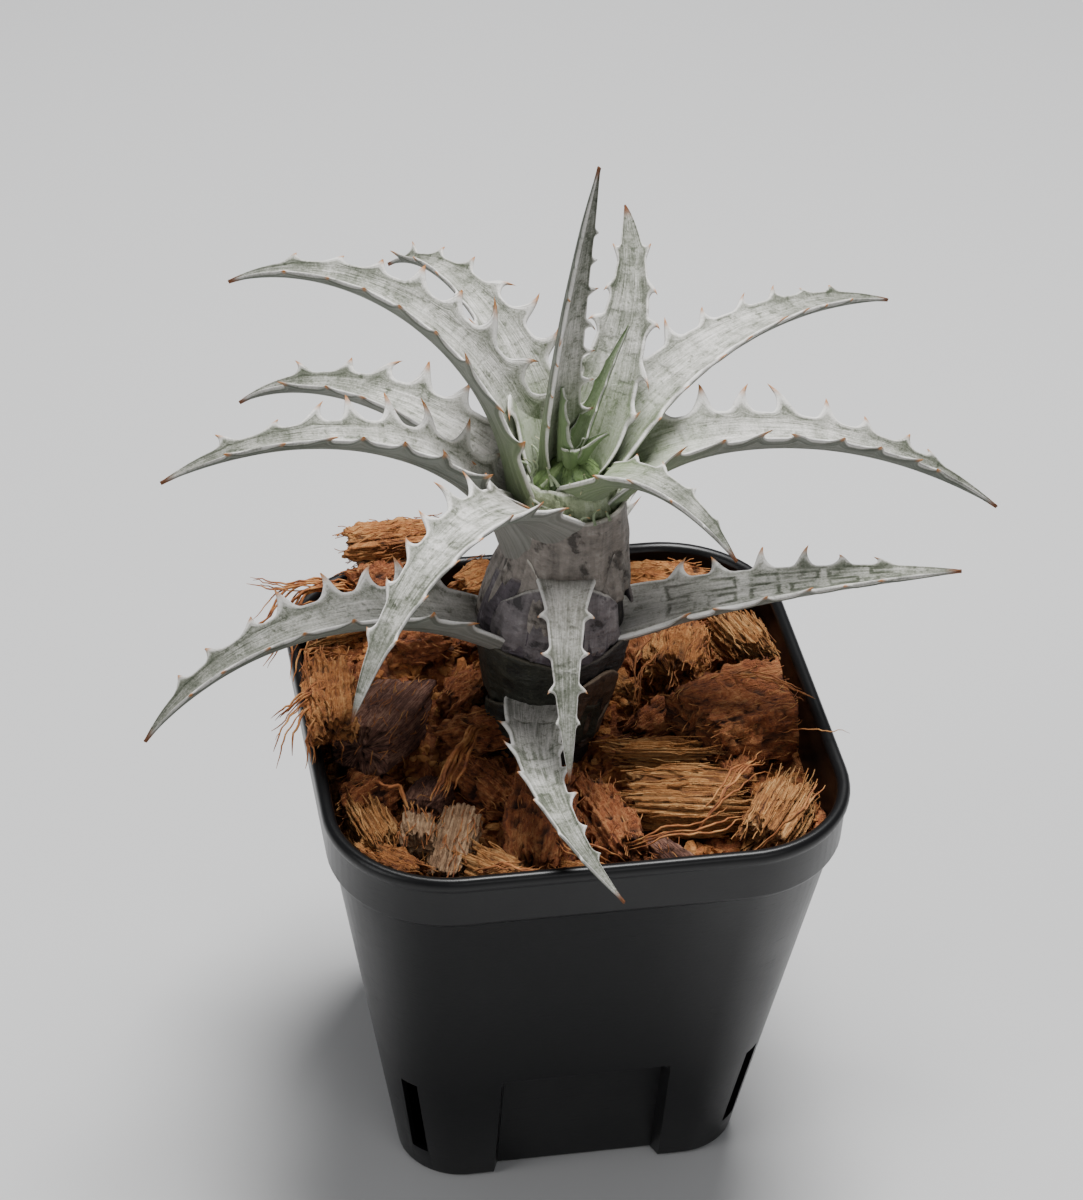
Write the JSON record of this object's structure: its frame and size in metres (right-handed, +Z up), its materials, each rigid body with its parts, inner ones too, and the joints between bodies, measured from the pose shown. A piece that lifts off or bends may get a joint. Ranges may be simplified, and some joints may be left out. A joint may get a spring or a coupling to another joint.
{
  "type": "potted dyckia bromeliad",
  "caption": "Young dyckia with an open rosette of silver, hook-toothed leaves on a short sheathed stem, in a square black nursery pot of coconut husk chips.",
  "frame": {"origin": "middle of the pot's flat underside", "axes": "+Z up along the pot, +Y towards the back of the pot, +X towards its right side"},
  "size_m": [0.1507, 0.1254, 0.187],
  "materials": {
    "pot_plastic": "thin moulded black plastic, satin gloss",
    "red_husk": "dry matt coconut husk, red brown with loose fibres",
    "straw_husk": "dry matt coconut husk, straw coloured, split along its fibres",
    "leaf_sheath": "smooth mauve grey leaf sheath, satin",
    "green_heart": "pale green young leaf tissue, slightly waxy",
    "silver_leaf": "stiff leaf under a matt coat of silver scales"
  },
  "bodies": {
    "root": {"pot": "pot_plastic", "husk_mix_bed": "red_husk", "husk_chip_back_left": "straw_husk", "husk_chip_by_stem": "straw_husk", "husk_chip_front_layered": "straw_husk", "husk_chip_front_pale": "straw_husk", "husk_chip_front_right": "straw_husk", "husk_chip_front_striped": "straw_husk", "husk_chip_left_clump": "straw_husk", "husk_chip_right_straw": "straw_husk", "stem_with_sheaths": "leaf_sheath", "heart_young_leaves": "green_heart", "leaf_01_front_low": "silver_leaf", "leaf_02_left_low": "silver_leaf", "leaf_03_right_low": "silver_leaf", "leaf_04_back_low": "silver_leaf", "leaf_05_front_hooked": "silver_leaf", "leaf_06_back_left": "silver_leaf", "leaf_07_left": "silver_leaf", "leaf_08_front_left": "silver_leaf", "leaf_09_left_back": "silver_leaf", "leaf_10_right": "silver_leaf", "leaf_11_upper_left": "silver_leaf", "leaf_12_upper_right": "silver_leaf", "leaf_13_upper_back": "silver_leaf", "leaf_14_front_right": "silver_leaf", "leaf_15_inner_back": "silver_leaf", "leaf_16_inner_tall": "silver_leaf"}
  },
  "joints": []
}
